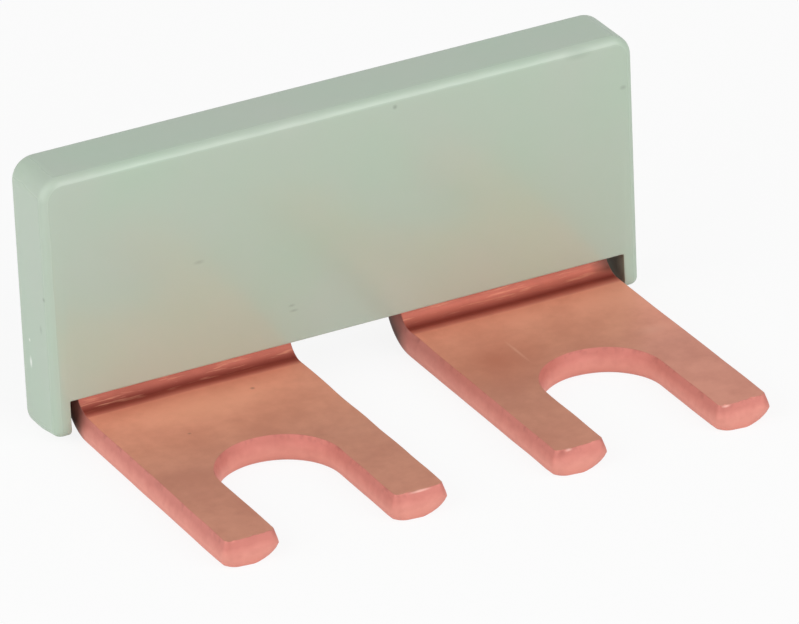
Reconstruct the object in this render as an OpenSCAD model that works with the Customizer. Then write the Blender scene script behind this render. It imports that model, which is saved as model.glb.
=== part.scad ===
// Earthing busbar: one stamped and folded copper comb with a moulded insulating cap over its web.
// X runs along the bar, the forks point to -Y, Z is up and Z = 0 is the underside of the forks.

/* [Copper comb] */
// Distance between the centre lines of the two forks, one terminal module apart
fork_pitch = 17.8; // [16:0.1:20]
// Width of each fork
fork_w = 12.1; // [10:0.1:13]
// Thickness of the copper sheet
copper_t = 1.4; // [1:0.1:2]
// Inner radius of the fold between the web and a fork
bend_r = 1.2; // [0.8:0.1:2]
// Reach of the fork tips from the front face of the cap
fork_reach = 15.9; // [13:0.1:18]
// Width of the screw slot in each fork
slot_w = 6.0; // [4.2:0.1:6.6]
// Depth of the screw slot from the tips to the top of its round end
slot_depth = 9.1; // [7:0.1:11]
// Corner radius of the tips
tip_r = 0.5; // [0.2:0.1:1]
// Height of the cut between the forks above the end of the fold
relief_h = 0.8; // [0.4:0.1:2]

/* [Insulating cap] */
// Height of the front and back walls from their lower edges to the top of the cap
wall_h = 12; // [10:0.1:16]
// Gap from the top of the forks up to the lower edges of the front and back walls
lip_gap = 0.9; // [0.6:0.1:1.5]
// Drop of the end walls below the lower edges of the front and back walls
end_drop = 1.9; // [1:0.1:2]
// Thickness of the front wall, with the web lying against its inside
front_wall = 0.8; // [0.8:0.1:2]
// Thickness of the back wall
back_wall = 1.4; // [1:0.1:2]
// Thickness of the two end walls
end_wall = 0.9; // [0.9:0.1:2]
// Thickness of the roof, which sits on the upper edge of the web
roof_t = 1.5; // [1.2:0.1:3]
// Width of the lead-in chamfers at the mouth of the hollow
lead_w = 0.4; // [0.3:0.1:0.6]
// Height by which the lead-in chamfers clear the fold
lead_h = 0.3; // [0.2:0.1:1]
// Clearance behind the web
web_play = 0.1; // [0.05:0.05:0.3]
// Clearance between each end of the comb and the end wall beside it
end_play = 0.45; // [0.2:0.05:1]
// Rounding of the outer edges
edge_r = 0.5; // [0.3:0.1:0.6]
// Radius of the two upper corners seen from the front
corner_r = 1.2; // [1.2:0.1:4]

/* [Hidden] */
$fn = 96;
cut = 1;
comb_l = fork_pitch + fork_w;
inner_l = comb_l + 2 * end_play;
cap_l = inner_l + 2 * end_wall;
cap_t = front_wall + copper_t + web_play + back_wall;
tip_y = -(fork_reach + cap_t) / 2;
front_y = tip_y + fork_reach;
web_y = front_y + front_wall;
bend_y = web_y - bend_r;
bend_z = copper_t + bend_r;
slot_y = tip_y + slot_depth - slot_w / 2;
lip_z = copper_t + lip_gap;
leg_z = lip_z - end_drop;
top_z = lip_z + wall_h;
web_top = top_z - roof_t;
lead_rise = max(0, bend_r - lip_gap) + lead_h;
corner_z = top_z - corner_r;

// Side view of the folded sheet: a fork, the fold and the web
module fold_profile() {
    translate([tip_y, 0]) square([bend_y - tip_y, copper_t]);
    translate([web_y, bend_z]) square([copper_t, web_top - bend_z]);
    intersection() {
        translate([bend_y, bend_z]) difference() {
            circle(r = bend_r + copper_t);
            circle(r = bend_r);
        }
        translate([bend_y, 0]) square(bend_r + copper_t);
    }
}

// Open-ended screw slot with a half-round end
module screw_slot() {
    translate([0, slot_y, -cut]) cylinder(d = slot_w, h = copper_t + 2 * cut);
    translate([-slot_w / 2, tip_y - cut, -cut])
        cube([slot_w, slot_y - tip_y + cut, copper_t + 2 * cut]);
}

// What is taken off a tip corner at x, with the metal on the side that dir points to
module tip_corner(x, dir) {
    translate([x + dir * tip_r, tip_y + tip_r, -cut]) difference() {
        translate([dir > 0 ? -tip_r - cut : 0, -tip_r - cut, 0])
            cube([tip_r + cut, tip_r + cut, copper_t + 2 * cut]);
        translate([0, 0, -cut]) cylinder(r = tip_r, h = copper_t + 4 * cut);
    }
}

// Copper comb: two forks, their folds and the web that joins them, stamped from one sheet
module comb() {
    gap_w = fork_pitch - fork_w;
    color("#c4806a") difference() {
        rotate([90, 0, 90]) linear_extrude(height = comb_l, center = true) fold_profile();
        translate([-gap_w / 2, tip_y - cut, -cut])
            cube([gap_w, fork_reach + cap_t + 2 * cut, bend_z + relief_h + cut]);
        for (x = [-fork_pitch / 2, fork_pitch / 2]) translate([x, 0, 0]) {
            screw_slot();
            tip_corner(-fork_w / 2, 1);
            tip_corner(-slot_w / 2, -1);
            tip_corner(slot_w / 2, 1);
            tip_corner(fork_w / 2, -1);
        }
    }
}

// Plan of the cap with its four rounded upright edges
module cap_plan() {
    translate([-cap_l / 2 + edge_r, front_y]) square([cap_l - 2 * edge_r, cap_t]);
    translate([-cap_l / 2, front_y + edge_r]) square([cap_l, cap_t - 2 * edge_r]);
    for (x = [-cap_l / 2 + edge_r, cap_l / 2 - edge_r])
        for (y = [front_y + edge_r, front_y + cap_t - edge_r])
            translate([x, y]) circle(r = edge_r);
}

// Half of the section through the rounded rim of the cap, out to the corner radius
module rim_section() {
    translate([0, -cap_t / 2]) square([corner_r - edge_r, cap_t]);
    translate([0, -cap_t / 2 + edge_r]) square([corner_r, cap_t - 2 * edge_r]);
    for (y = [-cap_t / 2 + edge_r, cap_t / 2 - edge_r])
        translate([corner_r - edge_r, y]) circle(r = edge_r);
}

// Outside of the cap: upright part, top bar and the two round upper corners
module cap_outside() {
    mid_y = front_y + cap_t / 2;
    translate([0, 0, leg_z]) linear_extrude(height = corner_z - leg_z) cap_plan();
    translate([0, mid_y, corner_z]) rotate([0, -90, 0])
        linear_extrude(height = cap_l - 2 * corner_r, center = true) rim_section();
    for (side = [0, 1]) mirror([side, 0, 0])
        translate([cap_l / 2 - corner_r, mid_y, corner_z]) rotate([90, 0, 0])
            rotate_extrude(angle = 90) rim_section();
}

// Side view of the hollow that takes the web, with a lead-in at its mouth and the open space below the walls
module hollow_profile() {
    back_y = web_y + copper_t + web_play;
    outer_y = front_y + cap_t;
    polygon([
        [front_y - cut, leg_z - cut],
        [front_y - cut, lip_z],
        [web_y - lead_w, lip_z],
        [web_y, lip_z + lead_rise],
        [web_y, web_top],
        [back_y, web_top],
        [back_y, lip_z + lead_rise],
        [back_y + lead_w, lip_z],
        [outer_y + cut, lip_z],
        [outer_y + cut, leg_z - cut],
    ]);
}

// Insulating cap: hollow cover that stands over the web on its roof, with end walls that reach past the forks
module cap() {
    color("#b0bfb0") difference() {
        cap_outside();
        rotate([90, 0, 90]) linear_extrude(height = inner_l, center = true) hollow_profile();
    }
}

comb();
cap();
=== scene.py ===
# Earthing busbar: a folded copper comb with two slotted forks, and a moulded insulating cap over its web.
# Metres, +Z up. X runs along the bar, the forks point to -Y and their undersides lie at Z = 0.
import math

import bmesh
import bpy
from mathutils import Euler, Matrix, Vector, geometry, noise


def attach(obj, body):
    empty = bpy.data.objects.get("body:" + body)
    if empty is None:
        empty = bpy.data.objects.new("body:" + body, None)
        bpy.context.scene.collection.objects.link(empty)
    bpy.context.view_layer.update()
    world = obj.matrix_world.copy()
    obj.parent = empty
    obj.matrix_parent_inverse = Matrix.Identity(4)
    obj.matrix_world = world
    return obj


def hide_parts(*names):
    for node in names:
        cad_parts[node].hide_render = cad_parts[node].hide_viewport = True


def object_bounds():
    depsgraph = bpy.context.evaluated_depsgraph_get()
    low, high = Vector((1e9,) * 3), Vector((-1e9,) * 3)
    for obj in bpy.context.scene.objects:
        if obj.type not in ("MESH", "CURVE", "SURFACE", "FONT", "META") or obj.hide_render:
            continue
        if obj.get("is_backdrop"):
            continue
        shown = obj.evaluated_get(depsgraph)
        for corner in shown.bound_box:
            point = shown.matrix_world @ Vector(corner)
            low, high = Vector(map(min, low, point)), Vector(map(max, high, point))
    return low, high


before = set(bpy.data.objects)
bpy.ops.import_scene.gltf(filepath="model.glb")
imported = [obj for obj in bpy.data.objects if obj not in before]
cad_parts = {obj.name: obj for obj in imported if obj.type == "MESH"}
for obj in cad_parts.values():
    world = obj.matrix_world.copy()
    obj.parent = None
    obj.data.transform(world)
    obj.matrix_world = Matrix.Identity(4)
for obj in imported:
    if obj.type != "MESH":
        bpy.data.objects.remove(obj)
cad_low, cad_high = ([round(c, 6) for c in corner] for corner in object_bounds())


# Copper comb
# One strip of half-hard copper, blanked in a die to a web with two slotted forks and folded square.
# The cut leaves a torn edge and a small burr on top and rolled-over edges below.
MM = 0.001
PITCH = 17.8 * MM
FORK_W = 12.1 * MM
FORK_REACH = 15.9 * MM
SHEET = 1.4 * MM
FOLD_R = 1.2 * MM
SLOT_W = 6.0 * MM
SLOT_DEPTH = 9.1 * MM
RELIEF_H = 0.8 * MM
TIP_R = 0.5 * MM
TIP_CROWN = 0.05 * MM
INNER_R = 0.5 * MM
FRONT_WALL = 0.8 * MM
ROOF = 1.5 * MM
FOLD_STEPS = 14
TIP_ARC_STEPS = 8
SLOT_ARC_STEPS = 40
INNER_ARC_STEPS = 6
TIP_STEP = 0.1 * MM
SLOT_STEP = 0.6 * MM
SIDE_STEP = 0.8 * MM
TIP_Y = cad_low[1]
FOLD_Y = TIP_Y + FORK_REACH + FRONT_WALL - FOLD_R
SLOT_Y = TIP_Y + SLOT_DEPTH - SLOT_W / 2
WEB_TOP = cad_high[2] - ROOF
RELIEF_Z = SHEET + FOLD_R + RELIEF_H
FOLD_LENGTH = (FOLD_R + SHEET / 2) * math.pi / 2
FLAT_OFFSET = FOLD_Y + FOLD_LENGTH - (FOLD_R + SHEET)


def line(start, end, step):
    """Points from start up to but without end, about a step apart."""
    start, end = Vector(start), Vector(end)
    count = max(1, round((end - start).length / step))
    return [start.lerp(end, i / count) for i in range(count)]


def arc(centre, radius, first, last, count):
    """Points on an arc from the first angle up to but without the last, in degrees."""
    angles = [math.radians(first + (last - first) * i / count) for i in range(count)]
    return [Vector((centre[0] + radius * math.cos(a), centre[1] + radius * math.sin(a))) for a in angles]


def fork_outline(centre):
    """Round one fork of the flat blank, from its left side at the tip to its right side."""
    points = []
    inner, outer = SLOT_W / 2, FORK_W / 2
    for left, right in ((-outer, -inner), (inner, outer)):
        left, right = centre + left + TIP_R, centre + right - TIP_R
        points += arc((left, TIP_Y + TIP_R), TIP_R, 180, 270, TIP_ARC_STEPS)
        points += line((left, TIP_Y), (right, TIP_Y), TIP_STEP)
        points += arc((right, TIP_Y + TIP_R), TIP_R, 270, 360, TIP_ARC_STEPS)
        if right < centre:
            points += line((centre - inner, TIP_Y + TIP_R), (centre - inner, SLOT_Y), SLOT_STEP)
            points += arc((centre, SLOT_Y), inner, 180, 0, SLOT_ARC_STEPS)
            points += line((centre + inner, SLOT_Y), (centre + inner, TIP_Y + TIP_R), SLOT_STEP)
    return points


fold_rows = [FOLD_Y + FOLD_LENGTH * i / FOLD_STEPS for i in range(FOLD_STEPS + 1)]
blank_top = WEB_TOP + FLAT_OFFSET
relief_y = RELIEF_Z + FLAT_OFFSET
half_l = (PITCH + FORK_W) / 2
half_gap = (PITCH - FORK_W) / 2


def side(x, low, high):
    """A straight side of the blank from low to high, with a point on every row of the fold."""
    rows = [r for r in fold_rows if low < r < high]
    points = line((x, low), (x, rows[0]), SIDE_STEP)
    points += [Vector((x, r)) for r in rows[:-1]]
    return points + line((x, rows[-1]), (x, high), SIDE_STEP)


def downward(points, end):
    """The same side run from its upper end down to its lower one."""
    return [Vector(end)] + points[:0:-1]


outline = line((0, blank_top), (-half_l + INNER_R, blank_top), SIDE_STEP)
outline += arc((-half_l + INNER_R, blank_top - INNER_R), INNER_R, 90, 180, INNER_ARC_STEPS)
outline += downward(side(-half_l, TIP_Y + TIP_R, blank_top - INNER_R), (-half_l, blank_top - INNER_R))
outline += fork_outline(-PITCH / 2)
outline += side(-half_gap, TIP_Y + TIP_R, relief_y - INNER_R)
outline += arc((-half_gap + INNER_R, relief_y - INNER_R), INNER_R, 180, 90, INNER_ARC_STEPS)
outline += line((-half_gap + INNER_R, relief_y), (half_gap - INNER_R, relief_y), SLOT_STEP)
outline += arc((half_gap - INNER_R, relief_y - INNER_R), INNER_R, 90, 0, INNER_ARC_STEPS)
outline += downward(side(half_gap, TIP_Y + TIP_R, relief_y - INNER_R), (half_gap, relief_y - INNER_R))
outline += fork_outline(PITCH / 2)
outline += side(half_l, TIP_Y + TIP_R, blank_top - INNER_R)
outline += arc((half_l - INNER_R, blank_top - INNER_R), INNER_R, 0, 90, INNER_ARC_STEPS)
outline += line((half_l - INNER_R, blank_top), (0, blank_top), SIDE_STEP)

# The cut from the upper face down: inset and height in millimetres, and how far the cut's look has set in.
# The sheet breaks away under a burr at the top, is sheared square in the middle and rolls over at the bottom.
RIM = [
    (0.34, 1.40, 0.0), (0.27, 1.40, 0.0), (0.235, 1.40, 0.5), (0.21, 1.38, 1.0), (0.18, 1.28, 1.0),
    (0.12, 1.08, 1.0), (0.05, 0.86, 1.0), (0.0, 0.66, 1.0), (0.0, 0.44, 1.0), (0.015, 0.30, 1.0),
    (0.06, 0.16, 1.0), (0.14, 0.06, 1.0), (0.24, 0.0, 0.6), (0.32, 0.0, 0.0),
]
ROLL_TOP = 0.62 * MM
LEFT_ROLLED_R = 0.8 * MM
RIGHT_ROLLED_R = 1.5 * MM
MIDDLE_ROLL_LOSS = 0.7
UNEVEN = 0.2
UNEVEN_RUN = 2.2 * MM
BURR_FROM = 1.3 * MM
BURR_REACH = 0.3 * MM
BURR_H = 0.06 * MM
SAME_ROW = 1e-9
tine_w = (FORK_W - SLOT_W) / 2
tip_middles = [
    Vector((fork + way * (SLOT_W + tine_w) / 2, TIP_Y)) for fork in (-PITCH / 2, PITCH / 2) for way in (-1, 1)
]


def roll_over(p, roll):
    """A point of the outline after the cut, which crowns the tips and opens their corners as it rolls,
    the right corner of each tip more than the left one."""
    middle = min(tip_middles, key=lambda m: (p - m).length)
    way = math.copysign(1, middle.x - p.x)
    corner = middle - Vector((way * tine_w / 2, 0))
    across_tip, up_side = way * (p.x - corner.x), p.y - corner.y
    angle = math.atan2(max(0.0, TIP_R - up_side), max(0.0, TIP_R - across_tip))
    run = TIP_R * (angle - math.pi / 4) + max(0.0, across_tip - TIP_R) - max(0.0, up_side - TIP_R)
    rolled_r = LEFT_ROLLED_R if way > 0 else RIGHT_ROLLED_R
    radius = TIP_R + (rolled_r - TIP_R) * roll
    half_run = TIP_R * math.pi / 4 + radius - TIP_R
    q = p.copy()
    if abs(run) < half_run:
        turn = math.pi / 4 * (1 + run / half_run)
        q = corner + radius * Vector((way * (1 - math.cos(turn)), 1 - math.sin(turn)))
    at_tip = max(0.0, 1 - (q.y - TIP_Y) / TIP_R)
    q.y += at_tip * TIP_CROWN * ((q.x - middle.x) / (tine_w / 2)) ** 2
    return q


def inward(points):
    """Unit vectors at right angles to a closed outline that point into the sheet."""
    ways = []
    for i, p in enumerate(points):
        along = (points[(i + 1) % len(points)] - p).normalized() + (p - points[i - 1]).normalized()
        ways.append(Vector((-along.y, along.x)).normalized())
    return ways


count = len(outline)
travel = [0.0]
for i in range(1, count):
    travel.append(travel[-1] + (outline[i] - outline[i - 1]).length)

blank = bmesh.new()
rim_layer = blank.verts.layers.float.new("rim")
burr_layer = blank.verts.layers.float.new("burr")
path_layer = blank.verts.layers.float_vector.new("cut_path")
fold_layer = blank.verts.layers.float.new("fold_turn")
rings = []
for inset_mm, height_mm, cut_look in RIM:
    ring = []
    height = height_mm * MM
    roll = max(0.0, 1 - height / ROLL_TOP)
    rolled = [roll_over(p, roll) for p in outline]
    with_burr = height > BURR_FROM and cut_look > 0
    for p, start, way, run in zip(outline, rolled, inward(rolled), travel):
        uneven = 1 + UNEVEN * noise.noise((run / UNEVEN_RUN, height_mm, 0))
        at_middle = max(0.0, 1 - min((p - m).length for m in tip_middles) / (tine_w / 2))
        q = start + way * inset_mm * MM * uneven * (1 - MIDDLE_ROLL_LOSS * roll * at_middle)
        vert = blank.verts.new((q.x, q.y, height))
        vert[rim_layer] = cut_look
        vert[burr_layer] = 1.0 if with_burr and p.y < TIP_Y + BURR_REACH else 0.0
        vert[path_layer] = (run, SHEET - height, 0)
        vert[fold_layer] = (q.y - FOLD_Y) / FOLD_LENGTH
        ring.append(vert)
    rings.append(ring)
for upper, lower in zip(rings, rings[1:]):
    for i in range(count):
        j = (i + 1) % count
        blank.faces.new((upper[i], lower[i], lower[j], upper[j]))
for ring, up in ((rings[0], True), (rings[-1], False)):
    flat = [Vector((v.co.x, v.co.y)) for v in ring]
    bars = [(i, (i + 1) % count) for i in range(count)]
    for row in fold_rows:
        on_row = [i for i, q in enumerate(outline) if abs(q.y - row) < SAME_ROW]
        on_row.sort(key=lambda i: flat[i].x)
        bars += list(zip(on_row[0::2], on_row[1::2]))
    _, _, faces, sources, _, _ = geometry.delaunay_2d_cdt(flat, bars, [], 1, SAME_ROW)
    for face in faces:
        corners = [ring[sources[k][0]] for k in face]
        blank.faces.new(corners if up else corners[::-1])
blank.normal_update()
for face in blank.faces:
    face.smooth = True
comb_mesh = bpy.data.meshes.new("comb_copper")
blank.to_mesh(comb_mesh)
blank.free()
comb = bpy.data.objects.new("comb_copper", comb_mesh)
bpy.context.scene.collection.objects.link(comb)


def node(tree, kind, sockets=None, **settings):
    """Adds a node, sets it, and links or fills its sockets."""
    made = tree.nodes.new(kind)
    for name, value in settings.items():
        setattr(made, name, value)
    for key, value in (sockets or {}).items():
        if isinstance(value, bpy.types.NodeSocket):
            tree.links.new(value, made.inputs[key])
        else:
            made.inputs[key].default_value = value
    return made


def linear(code):
    """An sRGB hex colour as linear red, green, blue and alpha."""
    parts = [int(code[i:i + 2], 16) / 255 for i in (1, 3, 5)]
    return [c / 12.92 if c <= 0.04045 else ((c + 0.055) / 1.055) ** 2.4 for c in parts] + [1.0]


# Half-hard copper under a thin oxide film: the rolled faces are satin and mottled brown-pink, painted lighter
# and redder at the root as light thrown back from the cap; the cut sides are fresher metal, lighter and
# pinker, torn above and sheared below.
copper = bpy.data.materials.new("rolled_copper")
copper.use_nodes = True
tree = copper.node_tree
tree.nodes.clear()
place = node(tree, "ShaderNodeTexCoord").outputs["Object"]
rim = node(tree, "ShaderNodeAttribute", attribute_name="rim").outputs["Fac"]
cut_path = node(tree, "ShaderNodeAttribute", attribute_name="cut_path").outputs["Vector"]
turned = node(tree, "ShaderNodeAttribute", attribute_name="fold_turn").outputs["Fac"]
# Handling stains, about 3 mm across
stain = node(tree, "ShaderNodeTexNoise", {
    "Vector": place, "Scale": 1 / (3 * MM), "Detail": 5.0, "Roughness": 0.65,
})
stain_mix = node(tree, "ShaderNodeMapRange", {
    "Value": stain.outputs["Fac"], "From Min": 0.3, "From Max": 0.7,
}, interpolation_type="SMOOTHSTEP")
tip_colour = node(tree, "ShaderNodeMix", {
    "Factor": stain_mix.outputs["Result"], "A": linear("#dc947d"), "B": linear("#cc8570"),
}, data_type="RGBA")
# Lighter, redder colour towards the fold: a painted glow of light thrown back from the cap
root_glow_colour = node(tree, "ShaderNodeMix", {
    "Factor": stain_mix.outputs["Result"], "A": linear("#f8a487"), "B": linear("#e8967a"),
}, data_type="RGBA")
root_glow_mix = node(tree, "ShaderNodeMapRange", {"Value": turned, "From Min": -2.6, "From Max": -0.4})
face_colour = node(tree, "ShaderNodeMix", {
    "Factor": root_glow_mix.outputs["Result"], "A": tip_colour.outputs["Result"],
    "B": root_glow_colour.outputs["Result"],
}, data_type="RGBA")
# Painted shade: a dark line along the fold, the reflection of the shaded underside of the lip, further out on
# the right fork than on the left
CREASE_SHADE_RAMP = [
    (0.0, "#ffffff"), (0.05, "#e7d7dd"), (0.10, "#d1b5ba"), (0.20, "#a27a7a"), (0.30, "#8f6161"),
    (0.40, "#a88186"), (0.55, "#d2b4b8"), (0.70, "#e7cbd0"),
]
across_bar = node(tree, "ShaderNodeSeparateXYZ", {"Vector": place}).outputs["X"]
shade_shift = node(tree, "ShaderNodeMapRange", {
    "Value": across_bar, "From Min": -PITCH / 2, "From Max": PITCH / 2, "To Min": 0.005, "To Max": 0.195,
})
shade_place = node(tree, "ShaderNodeMath", {0: turned, 1: shade_shift.outputs["Result"]}, operation="ADD")
crease_shade = node(tree, "ShaderNodeValToRGB", {"Fac": shade_place.outputs[0]})
stops = crease_shade.color_ramp.elements
while len(stops) < len(CREASE_SHADE_RAMP):
    stops.new(1.0)
for stop, (at, code) in zip(stops, CREASE_SHADE_RAMP):
    stop.position = at
    stop.color = linear(code)
crease_shaded = node(tree, "ShaderNodeMix", {
    "Factor": 1.0, "A": face_colour.outputs["Result"], "B": crease_shade.outputs["Color"],
}, data_type="RGBA", blend_type="MULTIPLY")
# Painted highlight: short bright streaks along the fold, less than 0.1 mm wide
glint_place = node(tree, "ShaderNodeMapping", {"Vector": place, "Scale": (0.1, 1.0, 1.0)})
glint = node(tree, "ShaderNodeTexNoise", {
    "Vector": glint_place.outputs["Vector"], "Scale": 1 / (0.15 * MM), "Detail": 3.0,
})
glint_mix = node(tree, "ShaderNodeMapRange", {
    "Value": glint.outputs["Fac"], "From Min": 0.54, "From Max": 0.74, "To Max": 0.6,
})
on_bend = node(tree, "ShaderNodeMapRange", {"Value": turned, "From Min": 0.2, "From Max": 0.4})
glint_share = node(tree, "ShaderNodeMath", {
    0: glint_mix.outputs["Result"], 1: on_bend.outputs["Result"],
}, operation="MULTIPLY")
glinted = node(tree, "ShaderNodeMix", {
    "Factor": glint_share.outputs[0], "A": crease_shaded.outputs["Result"], "B": linear("#ffb896"),
}, data_type="RGBA")
# Painted shade darkens the fold's right end over its last millimetre, beside the end wall
END_SHADE_START, END_SHADE_FULL = half_l - 1.25 * MM, half_l - 0.35 * MM
right_end_reach = node(tree, "ShaderNodeMapRange", {
    "Value": across_bar, "From Min": END_SHADE_START, "From Max": END_SHADE_FULL, "To Max": 0.75,
})
end_shade = node(tree, "ShaderNodeMath", {
    0: right_end_reach.outputs["Result"], 1: on_bend.outputs["Result"],
}, operation="MULTIPLY")
face = node(tree, "ShaderNodeMix", {
    "Factor": end_shade.outputs[0], "A": glinted.outputs["Result"], "B": linear("#4a2c22"),
}, data_type="RGBA")
# Punch streaks down the cut, 0.6 mm apart and stretched through the sheet
streak_place = node(tree, "ShaderNodeMapping", {"Vector": cut_path, "Scale": (1.0, 0.12, 1.0)})
streak = node(tree, "ShaderNodeTexNoise", {
    "Vector": streak_place.outputs["Vector"], "Scale": 1 / (0.6 * MM), "Detail": 2.0, "Roughness": 0.5,
})
# The cut is torn and redder in its upper half and sheared brighter below, with a ragged line between
depth = node(tree, "ShaderNodeSeparateXYZ", {"Vector": cut_path}).outputs["Y"]
broken = node(tree, "ShaderNodeTexNoise", {"Vector": place, "Scale": 1 / (0.5 * MM), "Detail": 2.0})
ragged_by = node(tree, "ShaderNodeMapRange", {
    "Value": broken.outputs["Fac"], "From Min": 0.3, "From Max": 0.7, "To Min": -0.1 * MM, "To Max": 0.1 * MM,
})
ragged_depth = node(tree, "ShaderNodeMath", {0: depth, 1: ragged_by.outputs["Result"]}, operation="ADD")
sheared_share = node(tree, "ShaderNodeMapRange", {
    "Value": ragged_depth.outputs[0], "From Min": 0.3 * MM, "From Max": 0.9 * MM,
})
torn = node(tree, "ShaderNodeMix", {
    "Factor": streak.outputs["Fac"], "A": linear("#c6776b"), "B": linear("#d28377"),
}, data_type="RGBA")
sheared = node(tree, "ShaderNodeMix", {
    "Factor": streak.outputs["Fac"], "A": linear("#de9284"), "B": linear("#e89e8e"),
}, data_type="RGBA")
cut_colour = node(tree, "ShaderNodeMix", {
    "Factor": sheared_share.outputs["Result"], "A": torn.outputs["Result"], "B": sheared.outputs["Result"],
}, data_type="RGBA")
# Dark flecks just under the burr
fleck = node(tree, "ShaderNodeMapRange", {
    "Value": broken.outputs["Fac"], "From Min": 0.52, "From Max": 0.72, "To Max": 0.35,
})
fleck_depth = node(tree, "ShaderNodeMapRange", {
    "Value": depth, "From Min": 0.05 * MM, "From Max": 0.45 * MM, "To Min": 1.0, "To Max": 0.0,
})
flecked = node(tree, "ShaderNodeMath", {
    0: fleck.outputs["Result"], 1: fleck_depth.outputs["Result"],
}, operation="MULTIPLY")
fleck_colour = node(tree, "ShaderNodeMix", {
    "Factor": flecked.outputs[0], "A": cut_colour.outputs["Result"], "B": linear("#8c4438"),
}, data_type="RGBA")
# The ends of the fold are stretched, and painted dark with shade, most of all towards the outer radius
on_fold = node(tree, "ShaderNodeMapRange", {"Value": turned, "From Max": 0.35})
outside = node(tree, "ShaderNodeMapRange", {
    "Value": depth, "From Min": 0.2 * MM, "From Max": 0.9 * MM, "To Min": 0.4,
})
fold_end_shade = node(tree, "ShaderNodeMath", {
    0: on_fold.outputs["Result"], 1: outside.outputs["Result"],
}, operation="MULTIPLY")
edge_colour = node(tree, "ShaderNodeMix", {
    "Factor": fold_end_shade.outputs[0], "A": fleck_colour.outputs["Result"], "B": linear("#66443c"),
}, data_type="RGBA")
colour = node(tree, "ShaderNodeMix", {
    "Factor": rim, "A": face.outputs["Result"], "B": edge_colour.outputs["Result"],
}, data_type="RGBA")
# Single marks: a red stain on the right fork and a brighter patch on the left one, a pale scratch beside the
# right slot, a rubbed patch, two dark dots, and painted highlights on the upper edges of three tips
COPPER_MARKS = [
    ((5.2, 0.6, 1.4), (3.2, 3.6, 0.6), "#bc5c40", 0.42),
    ((-9.5, 4.0, 1.4), (4.0, 1.8, 0.6), "#ffb392", 0.6),
    ((6.56, 1.0, 1.4), (0.10, 1.3, 0.3), "#f0b49c", 0.5),
    ((13.3, -0.4, 1.4), (0.9, 0.5, 0.3), "#e0a088", 0.4),
    ((-6.4, 4.35, 1.4), (0.13, 0.13, 0.3), "#5c3026", 0.5),
    ((-11.2, 1.6, 1.4), (0.10, 0.10, 0.3), "#6c3c30", 0.5),
    # Painted highlights: bright glints on the upper edges of three tips
    ((-4.4, -9.6, 1.36), (0.6, 0.10, 0.07), "#ffd8c8", 0.6),
    ((3.7, -9.6, 1.36), (0.2, 0.10, 0.08), "#ffd8c8", 0.55),
    ((12.4, -9.6, 1.36), (0.3, 0.10, 0.07), "#ffd8c8", 0.5),
]
MARK_EDGE = 1.2


def marked(tree, place, colour, marks):
    """A colour with marks laid over it, each with a centre and reach in millimetres, colour and strength."""
    for centre, reach, code, strength in marks:
        away = node(tree, "ShaderNodeVectorMath", {0: place, 1: Vector(centre) * MM}, operation="SUBTRACT")
        share = node(tree, "ShaderNodeVectorMath", {
            0: away.outputs[0], 1: Vector(reach) * MM,
        }, operation="DIVIDE")
        radius = node(tree, "ShaderNodeVectorMath", {0: share.outputs[0]}, operation="LENGTH")
        mark = node(tree, "ShaderNodeMapRange", {
            "Value": radius.outputs["Value"], "From Min": MARK_EDGE, "From Max": 0.0, "To Max": strength,
        })
        colour = node(tree, "ShaderNodeMix", {
            "Factor": mark.outputs["Result"], "A": colour.outputs["Result"], "B": linear(code),
        }, data_type="RGBA")
    return colour


colour = marked(tree, place, colour, COPPER_MARKS)
rough_face = node(tree, "ShaderNodeMapRange", {
    "Value": stain.outputs["Fac"], "From Min": 0.3, "From Max": 0.7, "To Min": 0.34, "To Max": 0.42,
})
rough = node(tree, "ShaderNodeMix", {"Factor": rim, "A": rough_face.outputs["Result"], "B": 0.55})
# Rolling lines along the bar, 0.08 mm apart in the strip and drawn at 0.2 mm to show
lines_place = node(tree, "ShaderNodeMapping", {"Vector": place, "Scale": (0.06, 1.0, 1.0)})
lines = node(tree, "ShaderNodeTexNoise", {
    "Vector": lines_place.outputs["Vector"], "Scale": 1 / (0.2 * MM), "Detail": 2.0,
})
face_bump = node(tree, "ShaderNodeBump", {
    "Strength": 0.12, "Distance": 0.01 * MM, "Height": lines.outputs["Fac"],
})
edge_bump = node(tree, "ShaderNodeBump", {
    "Strength": 0.12, "Distance": 0.02 * MM, "Height": streak.outputs["Fac"],
})
normal = node(tree, "ShaderNodeMix", {
    "Factor": rim, "A": face_bump.outputs["Normal"], "B": edge_bump.outputs["Normal"],
}, data_type="VECTOR")
# The oxide film is thicker beside the fold and dulls the metal there
film = node(tree, "ShaderNodeMapRange", {
    "Value": turned, "From Min": -1.5, "From Max": -0.2, "To Min": 0.55, "To Max": 0.2,
})
shine = node(tree, "ShaderNodeMix", {"Factor": rim, "A": film.outputs["Result"], "B": 0.3})
metal = node(tree, "ShaderNodeBsdfPrincipled", {
    "Base Color": colour.outputs["Result"], "Metallic": shine.outputs["Result"],
    "Roughness": rough.outputs["Result"], "Normal": normal.outputs["Result"],
})
node(tree, "ShaderNodeOutputMaterial", {"Surface": metal.outputs["BSDF"]})

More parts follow.
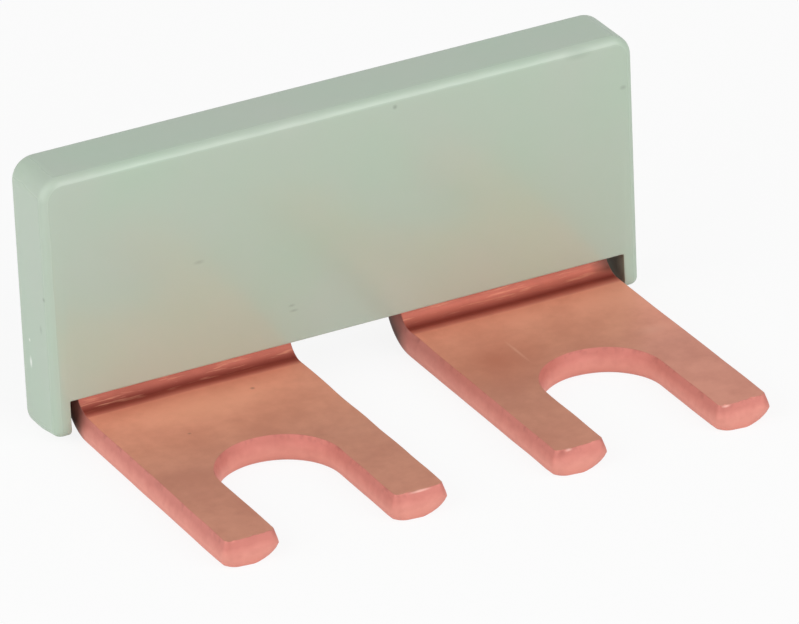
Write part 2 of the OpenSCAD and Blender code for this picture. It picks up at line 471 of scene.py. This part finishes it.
# The blank gets its burr and is then folded: rows past the fold's start turn round its inner radius
bend = bpy.data.node_groups.new("burr_and_fold", "GeometryNodeTree")
bend.interface.new_socket("Geometry", in_out="INPUT", socket_type="NodeSocketGeometry")
bend.interface.new_socket("Geometry", in_out="OUTPUT", socket_type="NodeSocketGeometry")
bend_inputs = {
    "Fold Start": ("NodeSocketFloat", FOLD_Y),
    "Fold End": ("NodeSocketFloat", FOLD_Y + FOLD_LENGTH),
    "Outer Radius": ("NodeSocketFloat", FOLD_R + SHEET),
    "Burr Height": ("NodeSocketFloat", BURR_H),
    "Copper": ("NodeSocketMaterial", copper),
}
bend_sockets = {
    name: bend.interface.new_socket(name, in_out="INPUT", socket_type=kind)
    for name, (kind, _) in bend_inputs.items()
}
given = node(bend, "NodeGroupInput").outputs
ragged = node(bend, "ShaderNodeTexNoise", {"Scale": 1 / (0.35 * MM), "Detail": 2.0})
lift = node(bend, "ShaderNodeMapRange", {
    "Value": ragged.outputs["Fac"], "From Min": 0.5, "From Max": 0.7, "To Max": given["Burr Height"],
})
burr = node(bend, "GeometryNodeInputNamedAttribute", {"Name": "burr"}, data_type="FLOAT")
raise_by = node(bend, "ShaderNodeMath", {
    0: lift.outputs["Result"], 1: burr.outputs["Attribute"],
}, operation="MULTIPLY")
burr_up = node(bend, "ShaderNodeCombineXYZ", {"Z": raise_by.outputs[0]})
raised = node(bend, "GeometryNodeSetPosition", {
    "Geometry": given["Geometry"], "Offset": burr_up.outputs["Vector"],
})
position = node(bend, "GeometryNodeInputPosition")
spot = node(bend, "ShaderNodeSeparateXYZ", {"Vector": position.outputs["Position"]}).outputs
turn = node(bend, "ShaderNodeMapRange", {
    "Value": spot["Y"], "From Min": given["Fold Start"], "From Max": given["Fold End"], "To Max": math.pi / 2,
})
sine = node(bend, "ShaderNodeMath", {0: turn.outputs["Result"]}, operation="SINE")
cosine = node(bend, "ShaderNodeMath", {0: turn.outputs["Result"]}, operation="COSINE")
arm = node(bend, "ShaderNodeMath", {0: given["Outer Radius"], 1: spot["Z"]}, operation="SUBTRACT")
before = node(bend, "ShaderNodeMath", {0: spot["Y"], 1: given["Fold Start"]}, operation="MINIMUM")
folded_y = node(bend, "ShaderNodeMath", {
    0: arm.outputs[0], 1: sine.outputs[0], 2: before.outputs[0],
}, operation="MULTIPLY_ADD")
past = node(bend, "ShaderNodeMath", {0: spot["Y"], 1: given["Fold End"]}, operation="SUBTRACT")
rise = node(bend, "ShaderNodeMath", {0: past.outputs[0], 1: 0.0}, operation="MAXIMUM")
top = node(bend, "ShaderNodeMath", {0: rise.outputs[0], 1: given["Outer Radius"]}, operation="ADD")
drop = node(bend, "ShaderNodeMath", {0: arm.outputs[0], 1: cosine.outputs[0]}, operation="MULTIPLY")
folded_z = node(bend, "ShaderNodeMath", {0: top.outputs[0], 1: drop.outputs[0]}, operation="SUBTRACT")
folded = node(bend, "ShaderNodeCombineXYZ", {
    "X": spot["X"], "Y": folded_y.outputs[0], "Z": folded_z.outputs[0],
})
placed = node(bend, "GeometryNodeSetPosition", {
    "Geometry": raised.outputs["Geometry"], "Position": folded.outputs["Vector"],
})
real = node(bend, "GeometryNodeRealizeInstances", {"Geometry": placed.outputs["Geometry"]})
dressed = node(bend, "GeometryNodeSetMaterial", {
    "Geometry": real.outputs["Geometry"], "Material": given["Copper"],
})
node(bend, "NodeGroupOutput", {"Geometry": dressed.outputs["Geometry"]})
fold = comb.modifiers.new("burr_and_fold", "NODES")
fold.node_group = bend
for name, (_, value) in bend_inputs.items():
    fold[bend_sockets[name].identifier] = value
SHARP_ANGLE = math.radians(32)


def settle(piece):
    """Turns a piece's modifiers into its plain mesh, smooth but for its sharp edges."""
    shaped = bpy.data.meshes.new_from_object(piece.evaluated_get(bpy.context.evaluated_depsgraph_get()))
    shaped.name = piece.name
    piece.modifiers.clear()
    piece.data = shaped
    shaped.polygons.foreach_set("use_smooth", [True] * len(shaped.polygons))
    shaped.set_sharp_from_angle(angle=SHARP_ANGLE)


settle(comb)
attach(comb, "root")
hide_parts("comb")


# Insulating cap
# A hollow cover moulded in pale grey-green polycarbonate and pushed over the web until its roof stops it.
# Its outer edges are well rounded; the mouth and the window for the forks keep nearly sharp edges.
LIP_GAP = 0.9 * MM
END_DROP = 1.9 * MM
END_PLAY = 0.45 * MM
WEB_PLAY = 0.1 * MM
CORNER_R = 1.2 * MM
EDGE_R = 0.5 * MM
EDGE_FADE = 0.6 * MM
LEAD_W = 0.4 * MM
LEAD_RISE = 0.6 * MM
MOUTH_R = 0.09 * MM
FOOT_R = 0.4 * MM
FOOT_SAG = 0.35 * MM
SAG_RUN = 0.65
MOUTH_STEPS = 3
MOUTH_ANGLE = math.radians(50)
ROUND_STEPS = 10
FLAT_STEPS = 6
CORNER_STEPS = 16
CUT_PAST = 1 * MM
CAP_L = cad_high[0] - cad_low[0]
CAP_FRONT = TIP_Y + FORK_REACH
CAP_BACK = cad_high[1]
CAP_TOP = cad_high[2]
LIP_Z = SHEET + LIP_GAP
CAP_FOOT = LIP_Z - END_DROP
HOLLOW_L = PITCH + FORK_W + 2 * END_PLAY
HOLLOW_FRONT = CAP_FRONT + FRONT_WALL
HOLLOW_BACK = HOLLOW_FRONT + SHEET + WEB_PLAY


def across(inset):
    """The cap's rounded side from front to back, with its outline drawn in by the inset: depth and y."""
    reach = EDGE_R - inset
    front = [(EDGE_R + EDGE_FADE, CAP_FRONT + inset)]
    for i in range(ROUND_STEPS + 1):
        angle = math.pi / 2 * i / ROUND_STEPS
        front.append((EDGE_R - reach * math.sin(angle), CAP_FRONT + EDGE_R - reach * math.cos(angle)))
    front.append((inset, CAP_FRONT + EDGE_R + EDGE_FADE))
    flat = CAP_BACK - CAP_FRONT - 2 * (EDGE_R + EDGE_FADE)
    middle = [(inset, front[-1][1] + flat * i / FLAT_STEPS) for i in range(1, FLAT_STEPS)]
    return front + middle + [(depth, CAP_FRONT + CAP_BACK - y) for depth, y in front[::-1]]


def sag(y):
    """How far a foot hangs below its front edge: nothing in front, then more towards the back."""
    share = min(1, (y - CAP_FRONT) / (CAP_BACK - CAP_FRONT) / SAG_RUN)
    return FOOT_SAG * share * share * (3 - 2 * share)


# Round the outside as seen from the front, from the left foot over the top to the right foot
corner_x, corner_z = CAP_L / 2 - CORNER_R, CAP_TOP - CORNER_R
foot_z = CAP_FOOT + FOOT_R
rim_path = [(Vector((-CAP_L / 2, foot_z)), Vector((-1, 0)))]
for centre_x, first in ((-corner_x, 180), (corner_x, 90)):
    for i in range(CORNER_STEPS + 1):
        angle = math.radians(first - 90 * i / CORNER_STEPS)
        out = Vector((math.cos(angle), math.sin(angle)))
        rim_path.append((Vector((centre_x, corner_z)) + out * CORNER_R, out))
rim_path.append((Vector((CAP_L / 2, foot_z)), Vector((1, 0))))
shell = bmesh.new()
grid = []
for spot_xz, out in rim_path:
    grid.append([
        shell.verts.new((spot_xz.x - out.x * depth, y, spot_xz.y - out.y * depth)) for depth, y in across(0)
    ])
for row, following in zip(grid, grid[1:]):
    for j in range(len(row) - 1):
        shell.faces.new((row[j], row[j + 1], following[j + 1], following[j]))
shell.faces.new([row[0] for row in grid])
shell.faces.new([row[-1] for row in grid][::-1])
# The feet round in from both ends, the front and the back, and hang a little lower behind
loops = [grid[0] + grid[-1][::-1]]
for i in range(1, ROUND_STEPS + 1):
    angle = math.pi / 2 * i / ROUND_STEPS
    left = [(-CAP_L / 2 + depth, y) for depth, y in across(FOOT_R * (1 - math.cos(angle)))]
    ring = left + [(-x, y) for x, y in left[::-1]]
    loops.append([
        shell.verts.new((x, y, foot_z - (FOOT_R + sag(y)) * math.sin(angle))) for x, y in ring
    ])
for loop, following in zip(loops, loops[1:]):
    for j in range(len(loop)):
        shell.faces.new((loop[j - 1], loop[j], following[j], following[j - 1]))
# The underside is closed in strips from the left foot to the right one, level along X
under = loops[-1]
half = len(under) // 2
shell.faces.new(under[:3] + under[-3:])
for j in range(2, half - 3):
    shell.faces.new((under[j], under[j + 1], under[-j - 2], under[-j - 1]))
shell.faces.new(under[half - 3:half + 3])
bmesh.ops.recalc_face_normals(shell, faces=shell.faces)
cap_mesh = bpy.data.meshes.new("cap_plastic")
shell.to_mesh(cap_mesh)
shell.free()
cap = bpy.data.objects.new("cap_plastic", cap_mesh)
bpy.context.scene.collection.objects.link(cap)

hollow_side = [
    (CAP_FRONT - CUT_PAST, CAP_FOOT - CUT_PAST), (CAP_FRONT - CUT_PAST, LIP_Z),
    (HOLLOW_FRONT - LEAD_W, LIP_Z), (HOLLOW_FRONT, LIP_Z + LEAD_RISE), (HOLLOW_FRONT, WEB_TOP),
    (HOLLOW_BACK, WEB_TOP), (HOLLOW_BACK, LIP_Z + LEAD_RISE), (HOLLOW_BACK + LEAD_W, LIP_Z),
    (CAP_BACK + CUT_PAST, LIP_Z), (CAP_BACK + CUT_PAST, CAP_FOOT - CUT_PAST),
]
core = bmesh.new()
core_ends = [[core.verts.new((x, y, z)) for y, z in hollow_side] for x in (-HOLLOW_L / 2, HOLLOW_L / 2)]
core.faces.new(core_ends[0])
core.faces.new(core_ends[1][::-1])
for i in range(len(hollow_side)):
    core.faces.new((core_ends[0][i - 1], core_ends[0][i], core_ends[1][i], core_ends[1][i - 1]))
bmesh.ops.recalc_face_normals(core, faces=core.faces)
core_mesh = bpy.data.meshes.new("cap_core")
core.to_mesh(core_mesh)
core.free()
core_piece = bpy.data.objects.new("cap_core", core_mesh)
bpy.context.scene.collection.objects.link(core_piece)
hollow = cap.modifiers.new("hollow", "BOOLEAN")
hollow.operation = "DIFFERENCE"
hollow.solver = "EXACT"
hollow.object = core_piece
soften = cap.modifiers.new("mouth_edges", "BEVEL")
soften.width = MOUTH_R
soften.segments = MOUTH_STEPS
soften.limit_method = "ANGLE"
soften.angle_limit = MOUTH_ANGLE
soften.use_clamp_overlap = False
settle(cap)
bpy.data.objects.remove(core_piece)

# Moulded polycarbonate: satin and slightly cloudy, so light softens its edges; the colour drifts a little
# from green to grey, with a fine eroded grain from the mould and a few specks.
plastic = bpy.data.materials.new("moulded_polycarbonate")
plastic.use_nodes = True
tree = plastic.node_tree
tree.nodes.clear()
place = node(tree, "ShaderNodeTexCoord").outputs["Object"]
# Clouds of pigment, about 7 mm across
cloud = node(tree, "ShaderNodeTexNoise", {"Vector": place, "Scale": 1 / (7 * MM), "Detail": 3.0})
body_colour = node(tree, "ShaderNodeMix", {
    "Factor": cloud.outputs["Fac"], "A": linear("#acc5ae"), "B": linear("#b8c0b4"),
}, data_type="RGBA")
# Mould grain 0.05 mm across, drawn at 0.15 mm to show
grain = node(tree, "ShaderNodeTexNoise", {"Vector": place, "Scale": 1 / (0.15 * MM), "Detail": 2.0})
grain_bump = node(tree, "ShaderNodeBump", {
    "Strength": 0.1, "Distance": 0.01 * MM, "Height": grain.outputs["Fac"],
})
# Single marks: dark specks on the front, the left end and two edges, and pale nicks low on the left end
CAP_MARKS = [
    ((-8.1, 6.1, 8.0), (0.30, 0.3, 0.12), "#8f9b8d", 0.5),
    ((-3.2, 6.1, 4.35), (0.20, 0.3, 0.08), "#8f9b8d", 0.6),
    ((-3.1, 6.1, 4.05), (0.25, 0.3, 0.08), "#8f9b8d", 0.6),
    ((-16.3, 6.55, 7.9), (0.3, 0.13, 0.13), "#7f8a7c", 0.7),
    ((-16.3, 7.1, 6.05), (0.3, 0.13, 0.25), "#8f9b8d", 0.6),
    ((2.95, 6.2, 13.6), (0.14, 0.3, 0.14), "#6f7a6c", 0.6),
    ((15.65, 6.2, 11.5), (0.2, 0.3, 0.14), "#7f8a7c", 0.6),
    ((13.2, 6.25, 13.9), (0.8, 0.35, 0.3), "#8fa28f", 0.5),
    ((-16.3, 8.55, 3.7), (0.3, 0.14, 0.32), "#f2f6f0", 0.9),
    ((-16.3, 8.55, 4.9), (0.3, 0.10, 0.10), "#f2f6f0", 0.8),
]
surface = marked(tree, place, body_colour, CAP_MARKS)
satin = node(tree, "ShaderNodeMapRange", {
    "Value": cloud.outputs["Fac"], "To Min": 0.19, "To Max": 0.27,
})
# The inner sides of the end walls get painted shade, dark grey-brown and dull: there the normal points back
# at the middle
facing = node(tree, "ShaderNodeTexCoord").outputs["Normal"]
facing_x = node(tree, "ShaderNodeSeparateXYZ", {"Vector": facing}).outputs["X"]
along_x = node(tree, "ShaderNodeSeparateXYZ", {"Vector": place}).outputs["X"]
turned_out = node(tree, "ShaderNodeMath", {0: facing_x, 1: along_x}, operation="MULTIPLY")
INNER_SHADE_START, INNER_SHADE_FULL = -10 * MM, -14 * MM
inner_shade = node(tree, "ShaderNodeMapRange", {
    "Value": turned_out.outputs[0], "From Min": INNER_SHADE_START, "From Max": INNER_SHADE_FULL, "To Max": 0.85,
})
surface = node(tree, "ShaderNodeMix", {
    "Factor": inner_shade.outputs["Result"], "A": surface.outputs["Result"], "B": linear("#6a6250"),
}, data_type="RGBA")
# The rounded edges are rubbed duller than the flat faces, unevenly over 1.5 mm
square_on = node(tree, "ShaderNodeVectorMath", {0: facing}, operation="ABSOLUTE")
parts = node(tree, "ShaderNodeSeparateXYZ", {"Vector": square_on.outputs[0]}).outputs
larger = node(tree, "ShaderNodeMath", {0: parts["X"], 1: parts["Y"]}, operation="MAXIMUM")
largest = node(tree, "ShaderNodeMath", {0: larger.outputs[0], 1: parts["Z"]}, operation="MAXIMUM")
worn_edge = node(tree, "ShaderNodeMapRange", {
    "Value": largest.outputs[0], "From Min": 0.998, "From Max": 0.8,
})
rubs = node(tree, "ShaderNodeTexNoise", {"Vector": place, "Scale": 1 / (1.5 * MM), "Detail": 2.0})
rub_rough = node(tree, "ShaderNodeMapRange", {
    "Value": rubs.outputs["Fac"], "From Min": 0.3, "From Max": 0.7, "To Min": 0.4, "To Max": 0.6,
})
gloss = node(tree, "ShaderNodeMix", {
    "Factor": worn_edge.outputs["Result"], "A": satin.outputs["Result"], "B": rub_rough.outputs["Result"],
})
gloss = node(tree, "ShaderNodeMix", {
    "Factor": inner_shade.outputs["Result"], "A": gloss.outputs["Result"], "B": 0.9,
})
body = node(tree, "ShaderNodeBsdfPrincipled", {
    "Base Color": surface.outputs["Result"], "Roughness": gloss.outputs["Result"],
    "Normal": grain_bump.outputs["Normal"], "IOR": 1.58, "Specular IOR Level": 0.65,
    "Subsurface Weight": 0.2, "Subsurface Radius": (1.0, 1.0, 0.8), "Subsurface Scale": 0.6 * MM,
})
node(tree, "ShaderNodeOutputMaterial", {"Surface": body.outputs["BSDF"]})
cap.data.materials.clear()
cap.data.materials.append(plastic)
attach(cap, "root")
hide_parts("cap")


# Floor, light and camera
# A sheet of pale paper under the forks, a white surround, and soft disk lamps at the left and front right.
# The camera sees paper and surround as nearly white, gloss sees part of that, and the paper keeps the shadow.
FLOOR_HALF = 1.5
FLOOR_WHITE = 0.88
FLOOR_GLOSS = 0.4
SURROUND = 0.40
SURROUND_GLOSS = 0.8

floor_mesh = bpy.data.meshes.new("floor")
floor_mesh.from_pydata([(-FLOOR_HALF, -FLOOR_HALF, 0), (FLOOR_HALF, -FLOOR_HALF, 0),
                        (FLOOR_HALF, FLOOR_HALF, 0), (-FLOOR_HALF, FLOOR_HALF, 0)], [], [(0, 1, 2, 3)])
floor = bpy.data.objects.new("floor", floor_mesh)
bpy.context.scene.collection.objects.link(floor)
paper = bpy.data.materials.new("white_paper")
paper.use_nodes = True
tree = paper.node_tree
tree.nodes.clear()
ray = node(tree, "ShaderNodeLightPath").outputs
white_share = node(tree, "ShaderNodeMapRange", {"Value": ray["Is Glossy Ray"], "To Max": FLOOR_GLOSS})
white_share = node(tree, "ShaderNodeMapRange", {
    "Value": ray["Is Camera Ray"], "To Min": white_share.outputs["Result"], "To Max": FLOOR_WHITE,
})
matt = node(tree, "ShaderNodeBsdfDiffuse", {"Color": linear("#f6f6f6")})
lit = node(tree, "ShaderNodeEmission", {"Color": linear("#ffffff"), "Strength": 1.0})
sheet_mix = node(tree, "ShaderNodeMixShader", {
    0: white_share.outputs["Result"], 1: matt.outputs["BSDF"], 2: lit.outputs["Emission"],
})
node(tree, "ShaderNodeOutputMaterial", {"Surface": sheet_mix.outputs["Shader"]})
floor_mesh.materials.append(paper)
floor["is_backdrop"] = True

world = bpy.data.worlds.new("surround")
bpy.context.scene.world = world
world.use_nodes = True
tree = world.node_tree
tree.nodes.clear()
ray = node(tree, "ShaderNodeLightPath").outputs
level = node(tree, "ShaderNodeMapRange", {
    "Value": ray["Is Glossy Ray"], "To Min": SURROUND, "To Max": SURROUND_GLOSS,
})
level = node(tree, "ShaderNodeMapRange", {
    "Value": ray["Is Camera Ray"], "To Min": level.outputs["Result"], "To Max": 1.0,
})
sky = node(tree, "ShaderNodeBackground", {"Color": linear("#ffffff"), "Strength": level.outputs["Result"]})
node(tree, "ShaderNodeOutputWorld", {"Surface": sky.outputs["Background"]})

# Each lamp has its azimuth and elevation in degrees, distance and size in metres, and power in watts
LAMPS = [
    ("left_lamp", -83, 20, 0.40, 0.55, 1.22),
    ("right_lamp", 26, 28, 0.40, 0.38, 0.86),
]
LAMP_AIM = Vector((0, 0, 6 * MM))
for name, azimuth, elevation, distance, size, watts in LAMPS:
    lamp = bpy.data.lights.new(name, "AREA")
    lamp.shape = "DISK"
    lamp.size = size
    lamp.energy = watts
    lamp_piece = bpy.data.objects.new(name, lamp)
    turn_to = Euler((math.radians(90 - elevation), 0, math.radians(azimuth))).to_matrix()
    lamp_place = LAMP_AIM + turn_to @ Vector((0, 0, distance))
    lamp_piece.matrix_world = Matrix.Translation(lamp_place) @ turn_to.to_4x4()
    bpy.context.scene.collection.objects.link(lamp_piece)

# The photograph's view, solved from the object's own edges
VIEW_AZIMUTH, VIEW_ELEVATION, VIEW_ROLL = -26.286, 26.323, 2.564
VIEW_DISTANCE = 425.2 * MM
VIEW_AIM = Vector((1.503, 3.686, 3.770)) * MM
PHOTO_W = 799
VIEW_FOCAL_PX = 8627.0
lens = bpy.data.cameras.new("camera")
lens.sensor_width = 36.0
lens.lens = VIEW_FOCAL_PX * lens.sensor_width / PHOTO_W
lens.clip_start = 0.01
lens.clip_end = 10.0
camera = bpy.data.objects.new("camera", lens)
aim_turn = Euler((math.radians(90 - VIEW_ELEVATION), 0, math.radians(VIEW_AZIMUTH))).to_matrix()
view_turn = aim_turn @ Matrix.Rotation(math.radians(-VIEW_ROLL), 3, "Z")
view_place = VIEW_AIM + aim_turn @ Vector((0, 0, VIEW_DISTANCE))
camera.matrix_world = Matrix.Translation(view_place) @ view_turn.to_4x4()
bpy.context.scene.collection.objects.link(camera)
bpy.context.scene.camera = camera
bpy.context.scene.view_settings.view_transform = "Standard"
